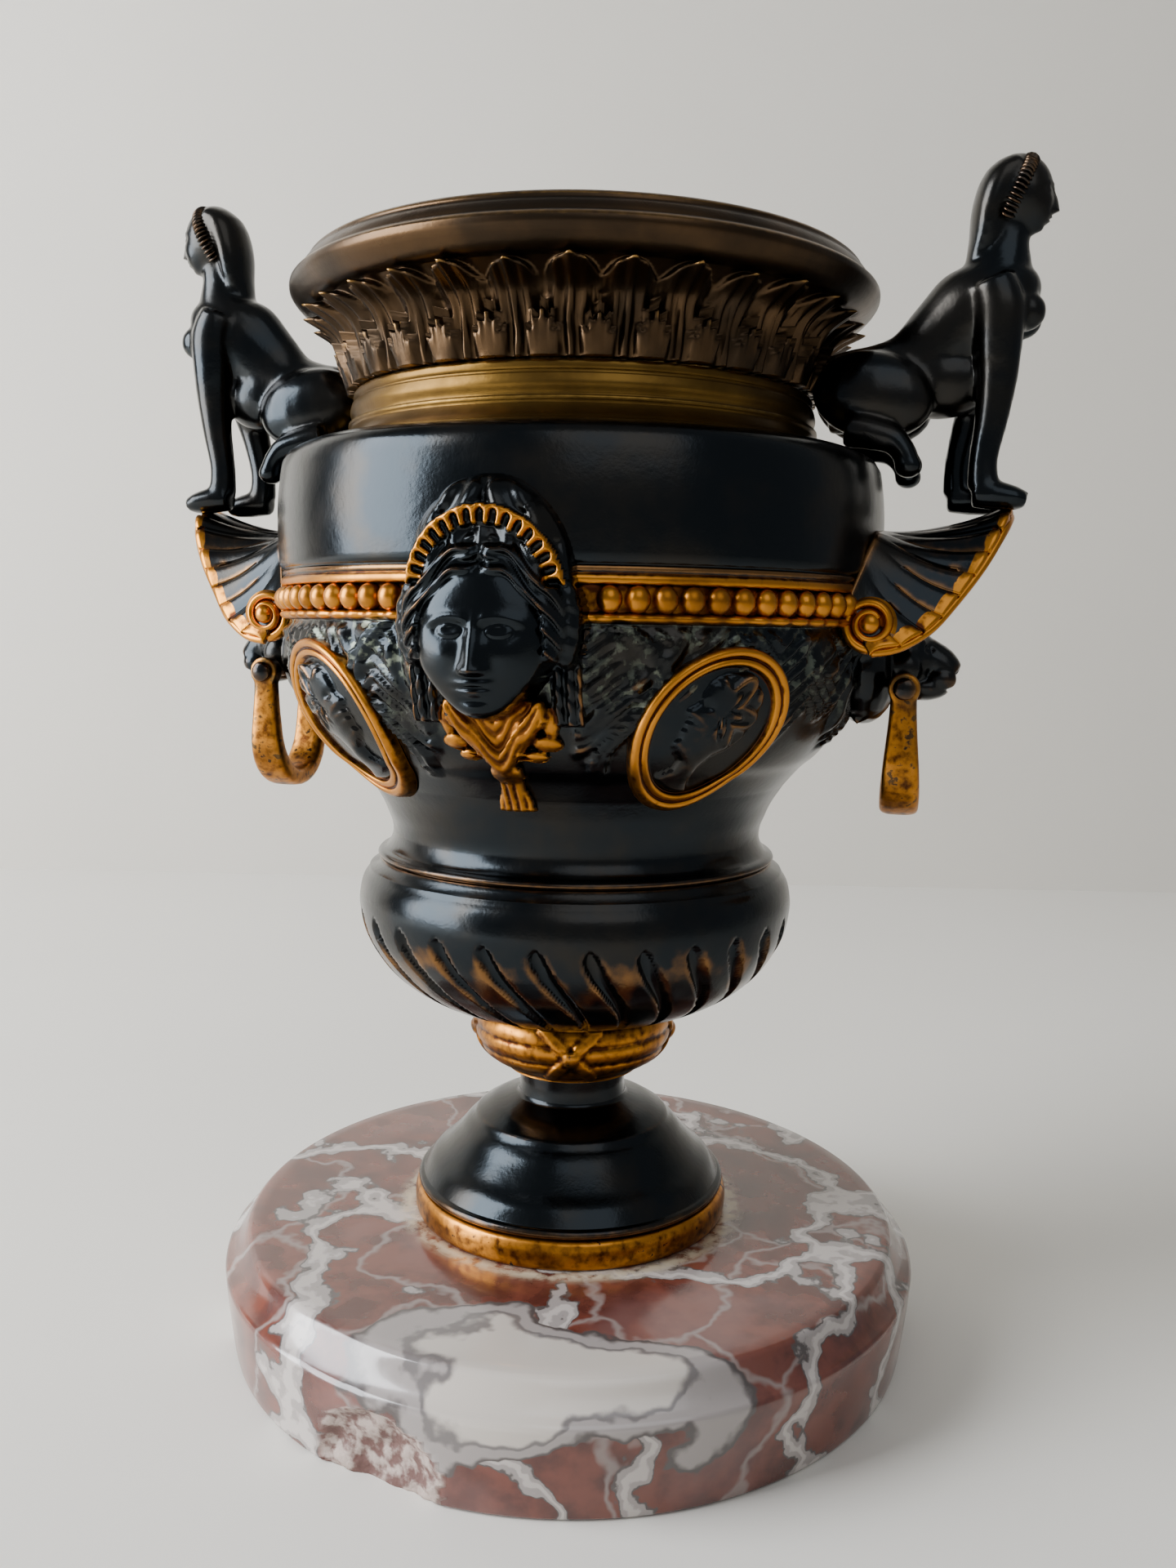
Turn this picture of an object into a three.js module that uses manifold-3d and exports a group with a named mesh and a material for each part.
// Medici vase of black and gilt bronze on a round marble base, with two swinging bails.
import * as THREE from 'three';
import { mergeVertices } from 'three/addons/utils/BufferGeometryUtils.js';
import Module from 'manifold-3d';

const wasm = await Module();
wasm.setup();

// Driving sizes in millimetres and degrees. Z is up from the underside of the marble.
// The front mask looks along -Y, and the lions and sphinxes face +X and -X.
// An azimuth is counted from the front towards +X.
const GAP = 0.3;
const WALL = 3;

const MARBLE = { radius: 65, foot: 63.6, arris: 15.5, cove: 61.2, top: 60.6, height: 21.5, sides: 28 };
const CHIP = { azimuth: -13.5, radius: 66.5, z: 2.5, size: [13.5, 5.5, 11.5] };
const FOOT_RING = { radius: 29.8, top: 26.8, sides: 24 };
const FOOT = { bead: 29.3, bell: 28.4, step: 17.8, stepZ: 39.2, stem: 10.2, top: 48.6, sides: 16 };
const KNOP = { top: 61, reeds: [[17.4, 52], [19.2, 55.4], [19.6, 58.8]] };
const RIBBON = { crossings: 4, azimuth: 13, columns: 6, thick: 0.8, z: 55.4, pitch: 2.4 };
const BOWL = { radius: 40.25, widest: 82, lip: 36.6, top: 89.9, floor: 64.6 };
const FLUTE = { count: 28, depth: 1.5, from: 61.9, to: 80.5, twist: 13 };
const WAIST = { radius: 34.1, z: 94.5 };
const FRIEZE = { bottom: 106, top: 131, depth: 0.7, waves: 5 };
const BEADS = { run: 12, pitch: 4.5, start: 18, z: 136.2, half: 2.3, seat: 52.6, out: 54.6 };
const SEAT_SIDES = 16;
const DRUM = { radius: 53.9, bottom: 141.1, top: 162.2, corner: 157.6, mouth: 38.4, sides: 24, inside: 16 };
const NECK = { flare: 45.4, bulge: 41.3, bulgeZ: 168.4, top: 172.4, bore: 36.8, sides: 20 };
const COLLAR = { leaves: 32, tip: 48.6, tipZ: 182.6, depth: 1.7 };
const RIM = { bottom: 185, radius: 51.8, arris: 189.6, lip: 47.8, top: 194, bore: 36.6, sides: 24 };

const MASK = { y: -52, z: 137, head: [13, 7.4, 16.8], face: [9.4, 3.6, 12], faceZ: 130.4, cells: 8 };
const TASSEL = { knot: 109.6, end: 103 };
const MEDALLION = { azimuth: 38, z: 116.5, long: 14.2, short: 11.8, lean: 40, proud: 3.5, sides: 14 };
const LION = { x: 56.5, z: 126.2, muzzle: 67.6, chin: 120.4 };
const PIN = { x: 58.8, z: 122.8, radius: 1.1, rivet: 1.9, reach: 11.9 };
const BAIL = { limb: 9.3, thick: 3, bottom: 100.4, narrow: 4.4, wide: 6.8, eye: 2.7 };
const SHELL_RIM = [[75, 0, 151.8], [74, 6.8, 150.2], [67, 13.2, 138.2], [55, 19.8, 130]];
const SHELL_ROOT = [[53, 0, 148.2], [52.4, 12.7, 147.2], [49, 19.2, 138]];
const SHELL_RIBS = 9;
const SHELL_THICK = 1.6;
const VOLUTE = { x: 52.6, y: 20, z: 133.5, radius: 4.7, eye: 2.1, thick: 4.4 };
const SPHINX = { head: [73.4, 204.6], headTop: 211, nose: 80.4, shoulder: [69.6, 187.6], rump: [44, 172.6] };

// Finishes
const FINISH = {
  marble: { color: '#8d5a50', roughness: 0.25, metalness: 0 },
  black: { color: '#1d2022', roughness: 0.35, metalness: 0.6 },
  brown: { color: '#4a3a22', roughness: 0.4, metalness: 0.8 },
  gilt: { color: '#b8842e', roughness: 0.4, metalness: 0.9 },
  brass: { color: '#8a6d2f', roughness: 0.35, metalness: 0.9 },
};

const radians = THREE.MathUtils.degToRad;

// Turning and shaping helpers

function bend(from, control, to, steps) {
  const ends = [from, control, to].map((point) => new THREE.Vector2(...point));
  return new THREE.QuadraticBezierCurve(...ends).getPoints(steps).map((point) => [point.x, point.y]);
}

function through(points, steps) {
  const curve = new THREE.SplineCurve(points.map((point) => new THREE.Vector2(...point)));
  return curve.getPoints(steps).map((point) => [point.x, point.y]);
}

function moved(geometry, place) {
  const position = geometry.attributes.position;
  const at = new THREE.Vector3();
  for (let i = 0; i < position.count; i += 1) {
    at.fromBufferAttribute(position, i);
    place(at);
    position.setXYZ(i, at.x, at.y, at.z);
  }
  return geometry;
}

// A lathe about Z. The carve function may shift the azimuth, radius and height of each point.
function turned(outline, sides, carve = null) {
  const points = outline.map(([r, z]) => new THREE.Vector2(r, z));
  const geometry = new THREE.LatheGeometry(points, sides).rotateX(Math.PI / 2);
  if (!carve) return geometry;
  return moved(geometry, (at) => {
    const column = Math.round((Math.atan2(at.x, -at.y) / (2 * Math.PI)) * sides);
    const cut = carve(column, Math.hypot(at.x, at.y), at.z);
    const azimuth = (column / sides) * 2 * Math.PI + radians(cut.turn ?? 0);
    at.set(cut.r * Math.sin(azimuth), -cut.r * Math.cos(azimuth), cut.z ?? at.z);
  });
}

// A rounded limb through stations of [x, y, z, half width across, half depth]
function limb(stations, sides, rows, across = new THREE.Vector3(0, 1, 0)) {
  const line = new THREE.CatmullRomCurve3(stations.map((s) => new THREE.Vector3(s[0], s[1], s[2])));
  const size = new THREE.CatmullRomCurve3(stations.map((s) => new THREE.Vector3(s[3], s[4], 0)));
  return moved(new THREE.CylinderGeometry(1, 1, 1, sides, rows), (at) => {
    const t = at.y + 0.5;
    const { x: width, y: depth } = size.getPoint(t);
    const along = line.getTangent(t);
    const up = along.clone().cross(across).normalize();
    const side = up.clone().cross(along);
    const point = line.getPoint(t);
    point.addScaledVector(side, at.x * width).addScaledVector(up, at.z * depth);
    at.copy(point);
  });
}

function ball(centre, radii, sides, rows) {
  const geometry = new THREE.SphereGeometry(1, sides, rows).rotateX(Math.PI / 2);
  return geometry.scale(...radii).translate(...centre);
}

function rod(from, to, radius, sides) {
  const start = new THREE.Vector3(...from);
  const end = new THREE.Vector3(...to);
  const along = end.clone().sub(start);
  const geometry = new THREE.CylinderGeometry(radius, radius, along.length(), sides);
  const turn = new THREE.Quaternion().setFromUnitVectors(new THREE.Vector3(0, 1, 0), along.normalize());
  const middle = start.add(end).multiplyScalar(0.5);
  return geometry.applyQuaternion(turn).translate(middle.x, middle.y, middle.z);
}

// Closed solids for joining and cutting

function solid(geometry) {
  const bare = geometry.clone();
  bare.deleteAttribute('normal');
  bare.deleteAttribute('uv');
  const welded = mergeVertices(bare, 1e-3);
  const points = welded.attributes.position.array;
  const corner = (i) => new THREE.Vector3().fromArray(points, 3 * i);
  const triangles = [];
  let volume = 0;
  for (let i = 0; i < welded.index.count; i += 3) {
    const [a, b, c] = welded.index.array.slice(i, i + 3);
    if (a !== b && b !== c && c !== a) {
      triangles.push(a, b, c);
      volume += corner(a).dot(corner(b).cross(corner(c)));
    }
  }
  if (volume < 0) triangles.reverse();
  const vertProperties = new Float32Array(points);
  const triVerts = new Uint32Array(triangles);
  return new wasm.Manifold(new wasm.Mesh({ numProp: 3, vertProperties, triVerts }));
}

function joined(geometries) {
  return geometries.map(solid).reduce((whole, next) => whole.add(next));
}

function shape(body) {
  const mesh = body.getMesh();
  const geometry = new THREE.BufferGeometry();
  geometry.setAttribute('position', new THREE.Float32BufferAttribute(mesh.vertProperties, 3));
  geometry.setIndex(Array.from(mesh.triVerts));
  geometry.computeVertexNormals();
  return geometry;
}

function mirrored(geometry) {
  return geometry.clone().scale(-1, 1, 1);
}

// Outer outlines of the hollow castings, as [radius, height]

const waist = [[36.4, BOWL.top], [WAIST.radius, WAIST.z], [36.3, 101.2]];
const wall = [...waist, [44.1, 110.5], [50, 119.8], [52.4, 131.6]];

function friezeOutline() {
  const top = BEADS.z - BEADS.half;
  return [[0, BOWL.top], ...through(wall, 7), [53.4, 132.8], [53.4, top], [0, top]];
}

function drumOutline() {
  const { radius, bottom, corner, top } = DRUM;
  const low = BEADS.z + BEADS.half;
  return [
    [0, low],
    [53.4, low],
    [53.2, 140],
    [radius - 0.2, bottom],
    [radius + 0.2, 148],
    ...bend([53.6, corner], [53.2, top], [49.5, top], 2),
    [0, top],
  ];
}

function neckOutline() {
  return [
    [0, DRUM.top],
    [NECK.flare, DRUM.top],
    ...bend([NECK.flare, 162.8], [42, 163.4], [41.4, 166.1], 2),
    [NECK.bulge, NECK.bulgeZ],
    [40.3, 170.8],
    [40.2, NECK.top - 0.4],
    [39.7, NECK.top],
    [0, NECK.top],
  ];
}

function wallRadius(z) {
  const above = wall.findIndex((point) => point[1] >= z);
  if (above < 1) return z > WAIST.z ? DRUM.radius : wall[0][0];
  const [low, high] = [wall[above - 1], wall[above]];
  return THREE.MathUtils.mapLinear(z, low[1], high[1], low[0], high[0]);
}

// Applied pieces are cut back to this plain form, which clears the vase by the gap all round
function seatForm() {
  const outline = [
    ...wall.map(([r, z]) => [r + 0.5, z]),
    [BEADS.out, BEADS.z - BEADS.half],
    [BEADS.out, DRUM.corner + 1],
    [53, DRUM.top - 0.6],
    [50, DRUM.top],
    [NECK.flare, DRUM.top + 0.3],
    [NECK.flare - 3, 165],
    [NECK.bulge + 0.2, NECK.top + 1],
    [43.2, 180],
    [COLLAR.tip, COLLAR.tipZ - 0.6],
  ];
  const clear = GAP / Math.cos(Math.PI / SEAT_SIDES);
  const grown = outline.map(([r, z]) => [r / Math.cos(Math.PI / SEAT_SIDES) + clear, z + GAP]);
  const form = turned([[0, BOWL.top], ...grown, [0, COLLAR.tipZ + 1]], SEAT_SIDES);
  return solid(form.rotateZ(Math.PI / SEAT_SIDES));
}

const seat = seatForm();

// Turned pieces

function marbleBase() {
  const outline = [
    [0, 0],
    [MARBLE.foot, 0],
    [MARBLE.foot + 0.9, 0.9],
    [MARBLE.radius, MARBLE.arris],
    ...bend([MARBLE.radius - 1.4, MARBLE.arris + 0.5], [MARBLE.cove, 16.4], [MARBLE.cove, 20.4], 2),
    [MARBLE.top, MARBLE.height],
    [0, MARBLE.height],
  ];
  const chip = new THREE.IcosahedronGeometry(1, 1).scale(...CHIP.size);
  chip.translate(0, -CHIP.radius, CHIP.z).rotateZ(radians(CHIP.azimuth));
  return solid(turned(outline, MARBLE.sides)).subtract(solid(chip));
}

function footRing() {
  const { radius, top } = FOOT_RING;
  const side = [[radius, MARBLE.height], [radius - 0.2, top - 0.5], [radius - 0.7, top]];
  const outline = [[0, MARBLE.height], ...side, [0, top]];
  return solid(turned(outline, FOOT_RING.sides));
}

function foot() {
  const { bead, bell, step, stepZ, stem, top } = FOOT;
  const outline = [
    [0, FOOT_RING.top],
    [bead - 0.5, FOOT_RING.top],
    [bead, 27.7],
    [bell, 28.6],
    [bell, 29.5],
    ...bend([bell - 0.4, 29.7], [22.6, 32.4], [step + 0.9, stepZ - 0.2], 2),
    [step, stepZ],
    [step - 0.2, stepZ + 1.3],
    ...bend([step - 0.6, stepZ + 1.6], [stem + 0.6, 42.6], [stem, 45.4], 2),
    [stem, top],
    [0, top],
  ];
  return solid(turned(outline, FOOT.sides));
}

// Three reeds, bound at each crossing by two ribbons that lean opposite ways
function knop() {
  const reeds = KNOP.reeds.flatMap(([r, z]) => [[r, z - 0.6], [r - 0.7, z + 1.6]]);
  const seatOnFoot = [[0, FOOT.top], [10, FOOT.top], [15, FOOT.top + 1.3]];
  const outline = [...seatOnFoot, ...reeds, [18.4, KNOP.top], [0, KNOP.top]];
  const { crossings, azimuth, columns, thick, z: middle, pitch } = RIBBON;
  const half = columns / 2;
  return solid(turned(outline, columns * crossings, (column, r, z) => {
    const aside = Math.abs(((column + 10 * columns + half) % columns) - half);
    const bound = r > 12 && Math.abs(Math.abs(z - middle) / pitch - aside) < 0.55;
    return { r: bound ? r + thick : r, turn: azimuth };
  }));
}

function bowl() {
  const rise = new THREE.CubicBezierCurve(
    new THREE.Vector2(18.6, KNOP.top),
    new THREE.Vector2(31, 63.4),
    new THREE.Vector2(40, 70.8),
    new THREE.Vector2(BOWL.radius, BOWL.widest),
  );
  const outline = [
    [0, KNOP.top],
    ...rise.getPoints(3).map((point) => [point.x, point.y]),
    [38.8, 87],
    [BOWL.lip, BOWL.top],
    [0, BOWL.top],
  ];
  const fluted = turned(outline, 2 * FLUTE.count, (column, r, z) => {
    const inFlutes = z > FLUTE.from && z < FLUTE.to;
    const cut = inFlutes && column % 2 !== 0 ? FLUTE.depth : 0;
    const turn = (FLUTE.twist * Math.max(FLUTE.to - z, 0)) / (FLUTE.to - FLUTE.from);
    return { r: r - cut, turn };
  });
  const hollow = [
    [0, BOWL.floor],
    ...bend([18, BOWL.floor], [BOWL.radius - WALL, 68], [BOWL.radius - WALL - 1, BOWL.widest], 2),
    [BOWL.lip - WALL - 2, BOWL.top - 2],
    [BOWL.lip - WALL - 2, BOWL.top + 1],
    [0, BOWL.top + 1],
  ];
  return solid(fluted).subtract(solid(turned(hollow, DRUM.inside)));
}

// Four runs of beads, which stop at the masks and at the shells
function beadBand() {
  const { run, pitch, start, z, half, seat: base, out } = BEADS;
  const columns = 2 * run + 2;
  const ring = [[0, z - half], [base, z - half], [out, z], [base, z + half], [0, z + half]];
  return turned(ring, 4 * columns, (column, r) => {
    const place = (column + 4 * columns) % columns;
    const plain = place > 2 * run || place % 2 === 0;
    const azimuth = place > 2 * run ? 90 : start + (place * pitch) / 2;
    return { r: plain ? Math.min(r, base) : r, turn: azimuth - (place * 90) / columns };
  });
}

function body() {
  const carve = (column, r, z) => {
    const relief = z > FRIEZE.bottom && z < FRIEZE.top;
    const wave = Math.sin(column * FRIEZE.waves + z) - 1;
    return { r: relief ? r + (FRIEZE.depth / 2) * wave : r };
  };
  const hollow = [
    [0, BOWL.top - 1],
    [WAIST.radius - WALL, BOWL.top - 1],
    [WAIST.radius - WALL, WAIST.z + 3],
    ...bend([34, 102.5], [47, 112], [48.4, 128], 2),
    [DRUM.radius - WALL, DRUM.bottom],
    [DRUM.radius - WALL, DRUM.corner - WALL + 1],
    [DRUM.mouth, DRUM.top - WALL],
    [DRUM.mouth, DRUM.top + 1],
    [0, DRUM.top + 1],
  ];
  const frieze = turned(friezeOutline(), DRUM.sides, carve);
  const drum = turned(drumOutline(), DRUM.sides);
  return joined([frieze, beadBand(), drum]).subtract(solid(turned(hollow, DRUM.inside)));
}

function neckRing() {
  const bore = [[0, DRUM.top - 1], [NECK.bore, DRUM.top - 1], [NECK.bore, NECK.top + 1], [0, NECK.top + 1]];
  return solid(turned(neckOutline(), NECK.sides)).subtract(solid(turned(bore, DRUM.inside)));
}

function mouth() {
  const collar = [
    [0, NECK.top],
    [39.7, NECK.top],
    [43.2, 179.6],
    [COLLAR.tip, COLLAR.tipZ],
    [48.2, RIM.bottom],
    [0, RIM.bottom],
  ];
  const leafy = turned(collar, 2 * COLLAR.leaves, (column, r, z) => {
    const leaf = z > NECK.top + 1 && z < COLLAR.tipZ + 0.5;
    return { r: leaf && column % 2 !== 0 ? r - COLLAR.depth : r };
  });
  const rim = [
    [0, RIM.bottom],
    [48.6, RIM.bottom],
    [50.8, 187],
    [RIM.radius, RIM.arris],
    [50.6, 191.4],
    [RIM.lip, RIM.top],
    [0, RIM.top],
  ];
  const hollow = [
    [0, NECK.top - 1],
    [RIM.bore, NECK.top - 1],
    [RIM.bore + 0.4, 178],
    ...bend([38.6, 181.5], [43.4, 185], [RIM.lip - 1.6, RIM.top + 0.2], 2),
    [0, RIM.top + 0.2],
  ];
  return joined([leafy, turned(rim, RIM.sides)]).subtract(solid(turned(hollow, DRUM.inside)));
}

// Masks, medallions, lions, bails, shells and sphinxes

function onWall(x, z, out) {
  return [x, -(wallRadius(z) + out), z];
}

function headFront(x, z) {
  const [wide, deep, high] = MASK.head;
  const inside = 1 - (x / wide) ** 2 - ((z - MASK.z) / high) ** 2;
  return MASK.y - deep * Math.sqrt(Math.max(inside, 0));
}

// Fluted crown that hugs the hair
function diadem() {
  const stations = [];
  for (let i = 0; i <= MASK.cells; i += 1) {
    const swing = radians(THREE.MathUtils.mapLinear(i, 0, MASK.cells, -108, 108));
    const [x, z] = [11.6 * Math.sin(swing), 137.4 + 9.4 * Math.cos(swing)];
    stations.push([x, headFront(x, z) - 0.5, z, 1.4, i % 2 === 0 ? 2.4 : 1.7]);
  }
  return limb(stations, 3, MASK.cells);
}

function plait(side) {
  const stations = [[11, 138, 1.2], [10.8, 128, 0.8], [9.6, 115.8, 0.4]];
  return limb(stations.map(([x, z, out]) => [...onWall(side * x, z, out), 2, 1.9]), 4, 2);
}

function drape(side) {
  const stations = [[9, 119.4, 1.6, 1.8], [5.4, 114.2, 2, 2.6], [0.4, TASSEL.knot - 0.6, 1.6, 1.4]];
  return limb(stations.map(([x, z, out, wide]) => [...onWall(side * x, z, out), 2.2, wide]), 4, 2);
}

function mask() {
  const [faceWide, faceOut, faceHigh] = MASK.face;
  const head = moved(ball([0, MASK.y, MASK.z], MASK.head, 8, 7), (at) => {
    const off = Math.hypot(at.x / faceWide, (at.z - MASK.faceZ) / faceHigh);
    const lock = 0.4 * Math.sin(at.z * 1.4 + Math.abs(at.x) * 0.9);
    at.y -= off < 1 ? faceOut * Math.cos((off * Math.PI) / 2) : lock;
  });
  const nose = limb([[0, -61, 135, 1.4, 1.2], [0, -62.6, 128, 2, 1.6]], 3, 1);
  const knot = ball(onWall(0, TASSEL.knot, 1.8), [2.6, 2.4, 2.2], 4, 3);
  const tail = limb([[...onWall(0, 108.6, 1.4), 1.8, 1.5], [...onWall(0, TASSEL.end, 0.8), 1.8, 2.3]], 4, 1);
  const pieces = [head, nose, diadem(), plait(1), plait(-1), drape(1), drape(-1), knot, tail];
  return joined(pieces).subtract(seat);
}

function medallion() {
  const { long, short, proud, sides } = MEDALLION;
  const field = proud - 1.1;
  const outline = [[0, -3], [1, -3], [1, proud - 0.5], [0.9, proud], [0.74, field], [0, field]];
  const disc = turned(outline, sides).scale(short, long, 1);
  const head = ball([0, 1.4, field], [4.8, 5.4, 1.3], 5, 2);
  const bust = ball([0.6, -5.6, field], [4.4, 3.4, 1], 4, 2);
  return joined([disc, head, bust]);
}

// Wraps a flat medallion round the sloping frieze, its top leaning away from the nearer mask
function medallionAt(azimuth, lean) {
  const { z } = MEDALLION;
  const flat = shape(medallion()).rotateZ(radians(lean));
  const wrapped = moved(flat, (at) => {
    const turn = radians(azimuth) + at.x / wallRadius(z);
    const out = wallRadius(z + at.y) + at.z;
    at.set(out * Math.sin(turn), -out * Math.cos(turn), z + at.y);
  });
  return solid(wrapped).subtract(seat);
}

function lionHead() {
  const { x, z, muzzle, chin } = LION;
  const mane = moved(ball([x - 4.6, 0, z - 0.6], [6.2, 11.4, 9.8], 8, 4), (at) => {
    const lock = 1 + 0.09 * Math.sin(4 * Math.atan2(at.y, at.z - z));
    at.y *= lock;
    at.z = z + (at.z - z) * lock;
  });
  const skull = ball([x + 1.4, 0, z + 1.6], [7.6, 7.2, 7.2], 6, 3);
  const bridge = [[x + 3, 0, z + 4.6, 3.6, 3], [x + 8, 0, z + 2, 3.2, 2.8], [muzzle, 0, z - 1.4, 2.6, 1.8]];
  const nose = limb(bridge, 4, 2);
  const jaw = ball([x + 5.4, 0, chin + 2.6], [5, 4.6, 2.8], 4, 3);
  const ears = [1, -1].map((side) => ball([x + 0.6, side * 6.6, z + 6.6], [1.6, 2, 2.4], 4, 3));
  const clear = [1, -1].map((side) => {
    const slot = new THREE.BoxGeometry(20, BAIL.thick + 2.6 * GAP, 32);
    return solid(slot.translate(64.2, side * BAIL.limb, 110.4));
  });
  const pin = rod([PIN.x, -PIN.reach, PIN.z], [PIN.x, PIN.reach, PIN.z], PIN.radius, 6);
  const rivets = [1, -1].map((side) => {
    const inner = BAIL.limb + BAIL.thick / 2 + GAP;
    return rod([PIN.x, side * inner, PIN.z], [PIN.x, side * PIN.reach, PIN.z], PIN.rivet, 6);
  });
  const head = clear.reduce((whole, slot) => whole.subtract(slot), joined([mane, skull, nose, jaw, ...ears]));
  return head.subtract(seat).add(joined([pin, ...rivets]));
}

// Flat strap bent to a U in a plane across X, with an eye at each end
function bail() {
  const { limb: half, thick, bottom, narrow, wide, eye } = BAIL;
  const crown = bottom + thick / 2 + half;
  const straight = PIN.z - crown;
  const total = 2 * straight + Math.PI * half;
  const strap = moved(new THREE.BoxGeometry(1, 1, 1, 12, 1, 1), (at) => {
    const run = (at.x + 0.5) * total - total / 2;
    const turn = THREE.MathUtils.clamp(run / half, -Math.PI / 2, Math.PI / 2);
    const rise = Math.max(Math.abs(run) - (Math.PI * half) / 2, 0);
    const low = 1 - Math.abs(run) / (total / 2);
    const width = THREE.MathUtils.lerp(narrow, wide, THREE.MathUtils.smoothstep(low, 0.35, 0.9));
    const radius = half + at.y * thick;
    at.set(PIN.x - 0.2 + at.z * width, radius * Math.sin(turn), crown - radius * Math.cos(turn) + rise);
  });
  const eyes = [1, -1].map((side) => {
    const ends = [half - thick / 2, half + thick / 2].map((y) => [PIN.x, side * y, PIN.z]);
    return rod(ends[0], ends[1], eye, 8);
  });
  const hole = rod([PIN.x, -20, PIN.z], [PIN.x, 20, PIN.z], PIN.radius + GAP, 6);
  return joined([strap, ...eyes]).subtract(solid(hole));
}

// A line through the given points and on through their mirror images across Y
function fan(points) {
  const half = points.map(([x, y, z]) => new THREE.Vector3(x, y, z));
  const other = half.slice(1).map((point) => point.clone().setY(-point.y));
  return new THREE.CatmullRomCurve3([...other.reverse(), ...half]);
}

function shellBracket() {
  const rim = fan(SHELL_RIM);
  const root = fan(SHELL_ROOT);
  const rows = 2 * SHELL_RIBS;
  const hood = moved(new THREE.BoxGeometry(1, 1, 1, rows, 1, 1), (at) => {
    const along = at.x + 0.5;
    const out = at.y + 0.5;
    const rib = Math.round(along * rows) % 2 === 0 ? 0.4 : -0.4;
    const point = root.getPoint(along).lerp(rim.getPoint(along), out);
    const down = new THREE.Vector3(0, -point.y, 128 - point.z).normalize();
    point.addScaledVector(down, -rib * out + (at.z + 0.5) * SHELL_THICK);
    at.copy(point);
  });
  const scrolls = [1, -1].flatMap((side) => {
    const { x, y, z, radius, eye, thick } = VOLUTE;
    const disc = rod([x, side * (y - thick), z], [x, side * y, z], radius, 8);
    return [disc, rod([x, side * (y - 1), z], [x, side * (y + 0.9), z], eye, 6)];
  });
  return joined([hood, ...scrolls]).subtract(seat);
}

function sphinx() {
  const [headX, headZ] = SPHINX.head;
  const [chestX, chestZ] = SPHINX.shoulder;
  const [rumpX, rumpZ] = SPHINX.rump;
  const spine = limb([
    [rumpX, 0, rumpZ, 6.8, 6.6],
    [rumpX + 7, 0, rumpZ + 1.2, 6.6, 7],
    [rumpX + 14, 0, rumpZ + 4.2, 5.6, 6.8],
    [chestX - 5, 0, chestZ - 5, 6.2, 8.2],
    [chestX + 0.4, 0, chestZ + 0.6, 6.8, 8],
    [chestX + 2, 0, chestZ + 6.4, 4.6, 5.2],
    [headX - 1.6, 0, headZ - 5.2, 3.5, 3.9],
  ], 6, 5);
  const belly = ball([62.6, 0, 174.6], [8.6, 5.6, 6.4], 6, 4);
  const thighs = [1, -1].map((side) => ball([51, side * 6.2, 171.4], [9.2, 4.4, 7.8], 5, 3));
  const shins = [1, -1].map((side) => limb([
    [48.5, side * 8.4, 165.2, 2.6, 2.2],
    [55.4, side * 8.4, 164.2, 2.4, 2.2],
    [58, side * 8.4, 160, 2.2, 1.8],
  ], 4, 2));
  const legs = [[-4.6, 1.8], [4.6, -1.8]].flatMap(([y, step]) => [
    limb([
      [chestX + 2.4, y, 184, 2.6, 3.8],
      [69.4 + step * 0.6, y, 175, 2.4, 3.2],
      [68.2 + step, y, 165, 1.9, 2.1],
      [67.8 + step, y, 156, 1.8, 2],
    ], 4, 3),
    limb([[66.4 + step, y, 154.6, 1.8, 2], [74 + step, y, 153.9, 1.9, 1.3]], 4, 1),
  ]);
  const breasts = [1, -1].map((side) => ball([75.9, side * 3.1, 184.6], [2.8, 2.6, 2.8], 4, 3));
  const skull = ball([headX, 0, headZ], [6, 4.9, SPHINX.headTop - headZ], 6, 3);
  const face = ball([headX + 3, 0, headZ - 1], [SPHINX.nose - headX - 3, 3.7, 5.4], 6, 4);
  const wig = limb([
    [headX + 1.2, 0, headZ + 4.4, 4.4, 2.6],
    [headX - 2.4, 0, headZ + 1, 5.9, 4.6],
    [headX - 4.2, 0, headZ - 5, 4.6, 3.4],
    [headX - 6, 0, headZ - 10.4, 3.2, 1.6],
  ], 5, 3);
  const parts = [spine, belly, ...thighs, ...shins, ...legs, ...breasts, skull, face, wig];
  return joined(parts).subtract(seat);
}

// The scene graph

const vase = new THREE.Group();
vase.name = 'medici_vase';

function put(name, geometry, finish) {
  const mesh = new THREE.Mesh(geometry, new THREE.MeshStandardMaterial(FINISH[finish]));
  mesh.name = name;
  vase.add(mesh);
}

put('marble_base', shape(marbleBase()), 'marble');
put('foot_ring', shape(footRing()), 'gilt');
put('foot', shape(foot()), 'black');
put('knop', shape(knop()), 'gilt');
put('bowl', shape(bowl()), 'black');
put('body', shape(body()), 'black');
put('neck_ring', shape(neckRing()), 'brass');
put('mouth', shape(mouth()), 'brown');

const maskShape = shape(mask());
put('mask_front', maskShape, 'black');
put('mask_back', maskShape.clone().rotateZ(Math.PI), 'black');

for (const [row, start] of [['front', 0], ['back', 180]]) {
  for (const [hand, side] of [['left', -1], ['right', 1]]) {
    const mirror = row === 'front' ? side : -side;
    const azimuth = start + mirror * MEDALLION.azimuth;
    put(`medallion_${row}_${hand}`, shape(medallionAt(azimuth, -mirror * MEDALLION.lean)), 'gilt');
  }
}

const pairs = { lion_head: [lionHead(), 'black'], bail: [bail(), 'gilt'] };
pairs.shell_bracket = [shellBracket(), 'black'];
pairs.sphinx = [sphinx(), 'black'];
for (const [name, [piece, finish]] of Object.entries(pairs)) {
  const right = shape(piece);
  put(`${name}_right`, right, finish);
  put(`${name}_left`, shape(solid(mirrored(right))), finish);
}

export default vase;
